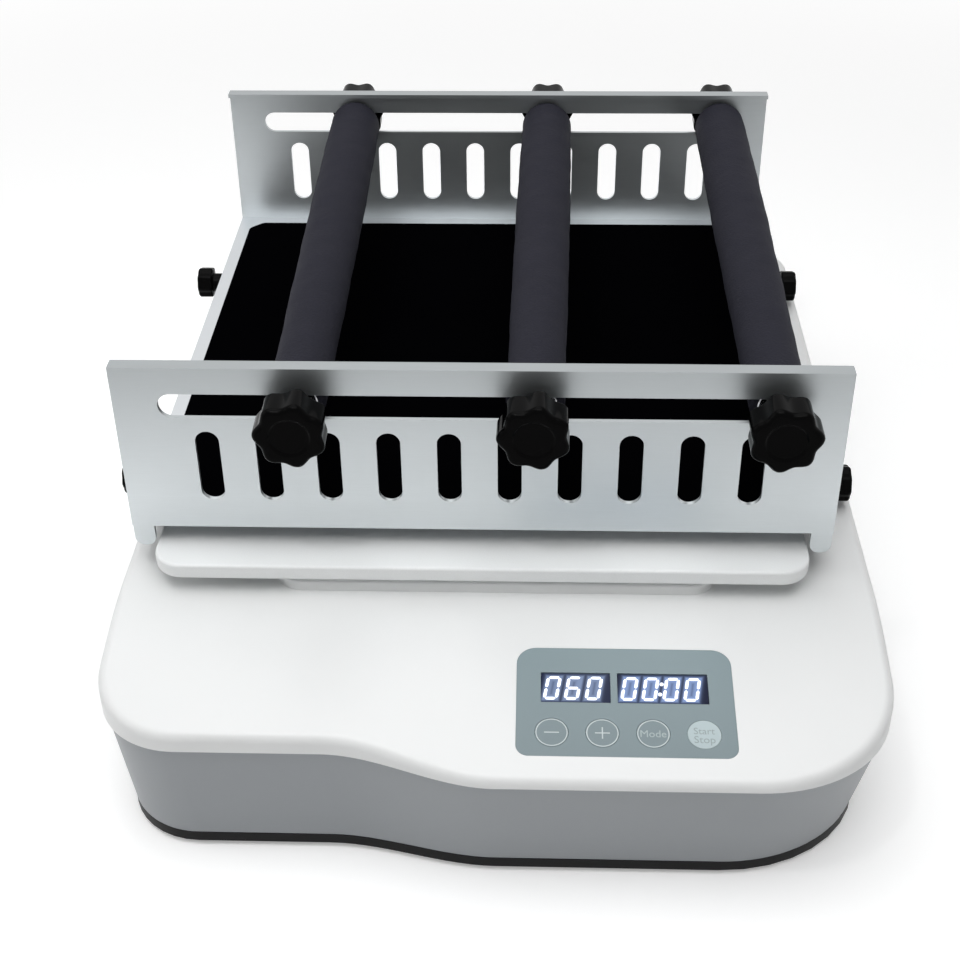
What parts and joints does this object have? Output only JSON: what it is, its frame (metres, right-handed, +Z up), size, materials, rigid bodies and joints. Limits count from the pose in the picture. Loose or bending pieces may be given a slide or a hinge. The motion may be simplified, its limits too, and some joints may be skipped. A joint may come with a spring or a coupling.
{
  "type": "orbital platform shaker",
  "caption": "Digital orbital platform shaker for the bench, with a clamp tray: slotted walls, foam-sleeved clamp bars and star knobs on an orbiting plate.",
  "frame": {"origin": "on the bench, below the centre of the bounding box at rest", "axes": "+Z up, +Y to the back, +X to the right as the control panel is read"},
  "size_m": [0.336, 0.4334, 0.1875],
  "materials": {
    "base_black": "black powder coat",
    "foot_rubber": "soft matt rubber",
    "housing_grey": "fine satin grain",
    "cover_white": "smooth semi-gloss",
    "zinc_steel": "zinc plated",
    "panel_film": "satin printed film",
    "display_glass": "dark lens over lit digits",
    "circuit_board": "green solder mask",
    "fitting_black": "moulded black",
    "cast_aluminium": "sand cast and machined",
    "bearing_steel": "ground steel",
    "motor_black": "black paint",
    "copper_winding": "varnished winding",
    "belt_rubber": "ribbed belt",
    "key_film": "satin printed film",
    "key_film_light": "satin printed film",
    "pulley_aluminium": "turned",
    "cast_iron_grey": "machined plate",
    "plate_white": "white powder coat",
    "tray_aluminium": "satin sheet",
    "nut_brass": "turned",
    "mat_rubber": "anti-slip mat with fine ribs",
    "bar_steel": "turned and threaded",
    "sleeve_foam": "closed-cell foam tube",
    "knob_black": "glossy moulded"
  },
  "bodies": {
    "base": {"base_plate": "base_black", "rubber_feet": "foot_rubber", "lower_housing": "housing_grey", "top_cover": "cover_white", "case_screws": "zinc_steel", "panel_overlay": "panel_film", "speed_display": "display_glass", "timer_display": "display_glass", "control_board": "circuit_board", "tact_switches": "fitting_black", "m3_screws": "zinc_steel", "m4_screws": "zinc_steel", "bearing_posts": "cast_aluminium", "post_bearings": "bearing_steel", "drive_bracket": "cast_aluminium", "spindle_bearings": "bearing_steel", "motor_housing": "motor_black", "motor_stator": "copper_winding", "drive_belt": "belt_rubber", "power_supply": "circuit_board", "mains_inlet": "fitting_black", "switch_housing": "fitting_black"},
    "spindle": {"drive_spindle": "bearing_steel", "driven_pulley": "pulley_aluminium", "counterweight": "cast_iron_grey"},
    "rotor": {"motor_rotor": "bearing_steel", "motor_pulley": "pulley_aluminium"},
    "follower_left_front": {"follower_left_front": "bearing_steel"},
    "follower_right_front": {"follower_right_front": "bearing_steel"},
    "follower_left_rear": {"follower_left_rear": "bearing_steel"},
    "follower_right_rear": {"follower_right_rear": "bearing_steel"},
    "platform": {"working_plate": "plate_white", "plate_bearings": "bearing_steel", "tray_spacers": "foot_rubber", "clamp_tray": "tray_aluminium", "tray_wall_front": "tray_aluminium", "tray_wall_rear": "tray_aluminium", "clamp_nuts": "nut_brass", "tray_mat": "mat_rubber"},
    "bar_left": {"clamp_bar_left": "bar_steel", "foam_sleeve_left": "sleeve_foam"},
    "bar_middle": {"clamp_bar_middle": "bar_steel", "foam_sleeve_middle": "sleeve_foam"},
    "bar_right": {"clamp_bar_right": "bar_steel", "foam_sleeve_right": "sleeve_foam"},
    "star_knob_left_front": {"star_knob_left_front": "knob_black"},
    "star_knob_left_rear": {"star_knob_left_rear": "knob_black"},
    "star_knob_middle_front": {"star_knob_middle_front": "knob_black"},
    "star_knob_middle_rear": {"star_knob_middle_rear": "knob_black"},
    "star_knob_right_front": {"star_knob_right_front": "knob_black"},
    "star_knob_right_rear": {"star_knob_right_rear": "knob_black"},
    "side_clamp_left_front": {"side_clamp_left_front": "knob_black"},
    "side_clamp_right_front": {"side_clamp_right_front": "knob_black"},
    "side_clamp_left_rear": {"side_clamp_left_rear": "knob_black"},
    "side_clamp_right_rear": {"side_clamp_right_rear": "knob_black"},
    "rocker": {"power_rocker": "fitting_black"},
    "key_minus": {"key_minus": "key_film"},
    "key_plus": {"key_plus": "key_film"},
    "key_mode": {"key_mode": "key_film"},
    "key_start": {"key_start": "key_film_light"}
  },
  "joints": [
    {"name": "orbit", "type": "hinge", "parent": "base", "child": "spindle", "pos_m": [0.00496, 0.0333, 0.085], "axis": [0, 0, 1], "continuous": true},
    {"name": "motor_spin", "type": "hinge", "parent": "base", "child": "rotor", "pos_m": [0.00496, 0.1453, 0.06], "axis": [0, 0, 1], "continuous": true},
    {"name": "follower_left_front_turn", "type": "hinge", "parent": "base", "child": "follower_left_front", "pos_m": [-0.06704, -0.0867, 0.06], "axis": [0, 0, 1], "continuous": true},
    {"name": "follower_right_front_turn", "type": "hinge", "parent": "base", "child": "follower_right_front", "pos_m": [0.07696, -0.0867, 0.06], "axis": [0, 0, 1], "continuous": true},
    {"name": "follower_left_rear_turn", "type": "hinge", "parent": "base", "child": "follower_left_rear", "pos_m": [-0.06704, 0.1533, 0.06], "axis": [0, 0, 1], "continuous": true},
    {"name": "follower_right_rear_turn", "type": "hinge", "parent": "base", "child": "follower_right_rear", "pos_m": [0.07696, 0.1533, 0.06], "axis": [0, 0, 1], "continuous": true},
    {"name": "platform_pivot", "type": "hinge", "parent": "spindle", "child": "platform", "pos_m": [-0.00146, 0.04096, 0.096], "axis": [0, 0, 1], "continuous": true},
    {"name": "bar_left_slide", "type": "slide", "parent": "platform", "child": "bar_left", "axis": [1, 0, 0], "range_m": [-0.046, 0.0335]},
    {"name": "bar_middle_slide", "type": "slide", "parent": "platform", "child": "bar_middle", "axis": [1, 0, 0], "range_m": [-0.0315, 0.045]},
    {"name": "bar_right_slide", "type": "slide", "parent": "platform", "child": "bar_right", "axis": [1, 0, 0], "range_m": [-0.0188, 0.0013]},
    {"name": "star_knob_left_front_turn", "type": "hinge", "parent": "bar_left", "child": "star_knob_left_front", "pos_m": [-0.07582, -0.12102, 0.1697], "axis": [0.0157, -0.9999, 0], "range_deg": [0, 720]},
    {"name": "star_knob_left_rear_turn", "type": "hinge", "parent": "bar_left", "child": "star_knob_left_rear", "pos_m": [-0.08091, 0.20294, 0.1697], "axis": [-0.0157, 0.9999, 0], "range_deg": [0, 720]},
    {"name": "star_knob_middle_front_turn", "type": "hinge", "parent": "bar_middle", "child": "star_knob_middle_front", "pos_m": [0.02111, -0.12101, 0.1697], "axis": [-0.0175, -0.9998, 0], "range_deg": [0, 720]},
    {"name": "star_knob_middle_rear_turn", "type": "hinge", "parent": "bar_middle", "child": "star_knob_middle_rear", "pos_m": [0.02676, 0.20294, 0.1697], "axis": [0.0175, 0.9998, 0], "range_deg": [0, 720]},
    {"name": "star_knob_right_front_turn", "type": "hinge", "parent": "bar_right", "child": "star_knob_right_front", "pos_m": [0.11972, -0.12103, 0.1697], "axis": [-0.0087, -1, 0], "range_deg": [0, 720]},
    {"name": "star_knob_right_rear_turn", "type": "hinge", "parent": "bar_right", "child": "star_knob_right_rear", "pos_m": [0.12255, 0.20296, 0.1697], "axis": [0.0087, 1, 0], "range_deg": [0, 720]},
    {"name": "side_clamp_left_front_turn", "type": "hinge", "parent": "platform", "child": "side_clamp_left_front", "pos_m": [-0.15596, -0.05504, 0.0965], "axis": [-1, 0, 0], "range_deg": [0, 720]},
    {"name": "side_clamp_right_front_turn", "type": "hinge", "parent": "platform", "child": "side_clamp_right_front", "pos_m": [0.15304, -0.05504, 0.0965], "axis": [1, 0, 0], "range_deg": [0, 720]},
    {"name": "side_clamp_left_rear_turn", "type": "hinge", "parent": "platform", "child": "side_clamp_left_rear", "pos_m": [-0.15596, 0.13696, 0.0965], "axis": [-1, 0, 0], "range_deg": [0, 720]},
    {"name": "side_clamp_right_rear_turn", "type": "hinge", "parent": "platform", "child": "side_clamp_right_rear", "pos_m": [0.15304, 0.13696, 0.0965], "axis": [1, 0, 0], "range_deg": [0, 720]},
    {"name": "power_switch", "type": "hinge", "parent": "base", "child": "rocker", "pos_m": [0.1631, -0.1507, 0.03109], "axis": [0, 1, 0], "range_deg": [-16, 0]},
    {"name": "key_minus_press", "type": "slide", "parent": "base", "child": "key_minus", "axis": [0, 0.2181, -0.9759], "range_m": [0, 0.0005], "stiffness_N_per_m": 500},
    {"name": "key_plus_press", "type": "slide", "parent": "base", "child": "key_plus", "axis": [0, 0.2181, -0.9759], "range_m": [0, 0.0005], "stiffness_N_per_m": 500},
    {"name": "key_mode_press", "type": "slide", "parent": "base", "child": "key_mode", "axis": [0, 0.2181, -0.9759], "range_m": [0, 0.0005], "stiffness_N_per_m": 500},
    {"name": "key_start_press", "type": "slide", "parent": "base", "child": "key_start", "axis": [0, 0.2181, -0.9759], "range_m": [0, 0.0005], "stiffness_N_per_m": 500}
  ],
  "couplings": [
    {"joint": "motor_spin", "follows": "orbit", "ratio": 4},
    {"joint": "follower_left_front_turn", "follows": "orbit", "ratio": 1},
    {"joint": "follower_right_front_turn", "follows": "orbit", "ratio": 1},
    {"joint": "follower_left_rear_turn", "follows": "orbit", "ratio": 1},
    {"joint": "follower_right_rear_turn", "follows": "orbit", "ratio": 1},
    {"joint": "platform_pivot", "follows": "orbit", "ratio": -1}
  ]
}
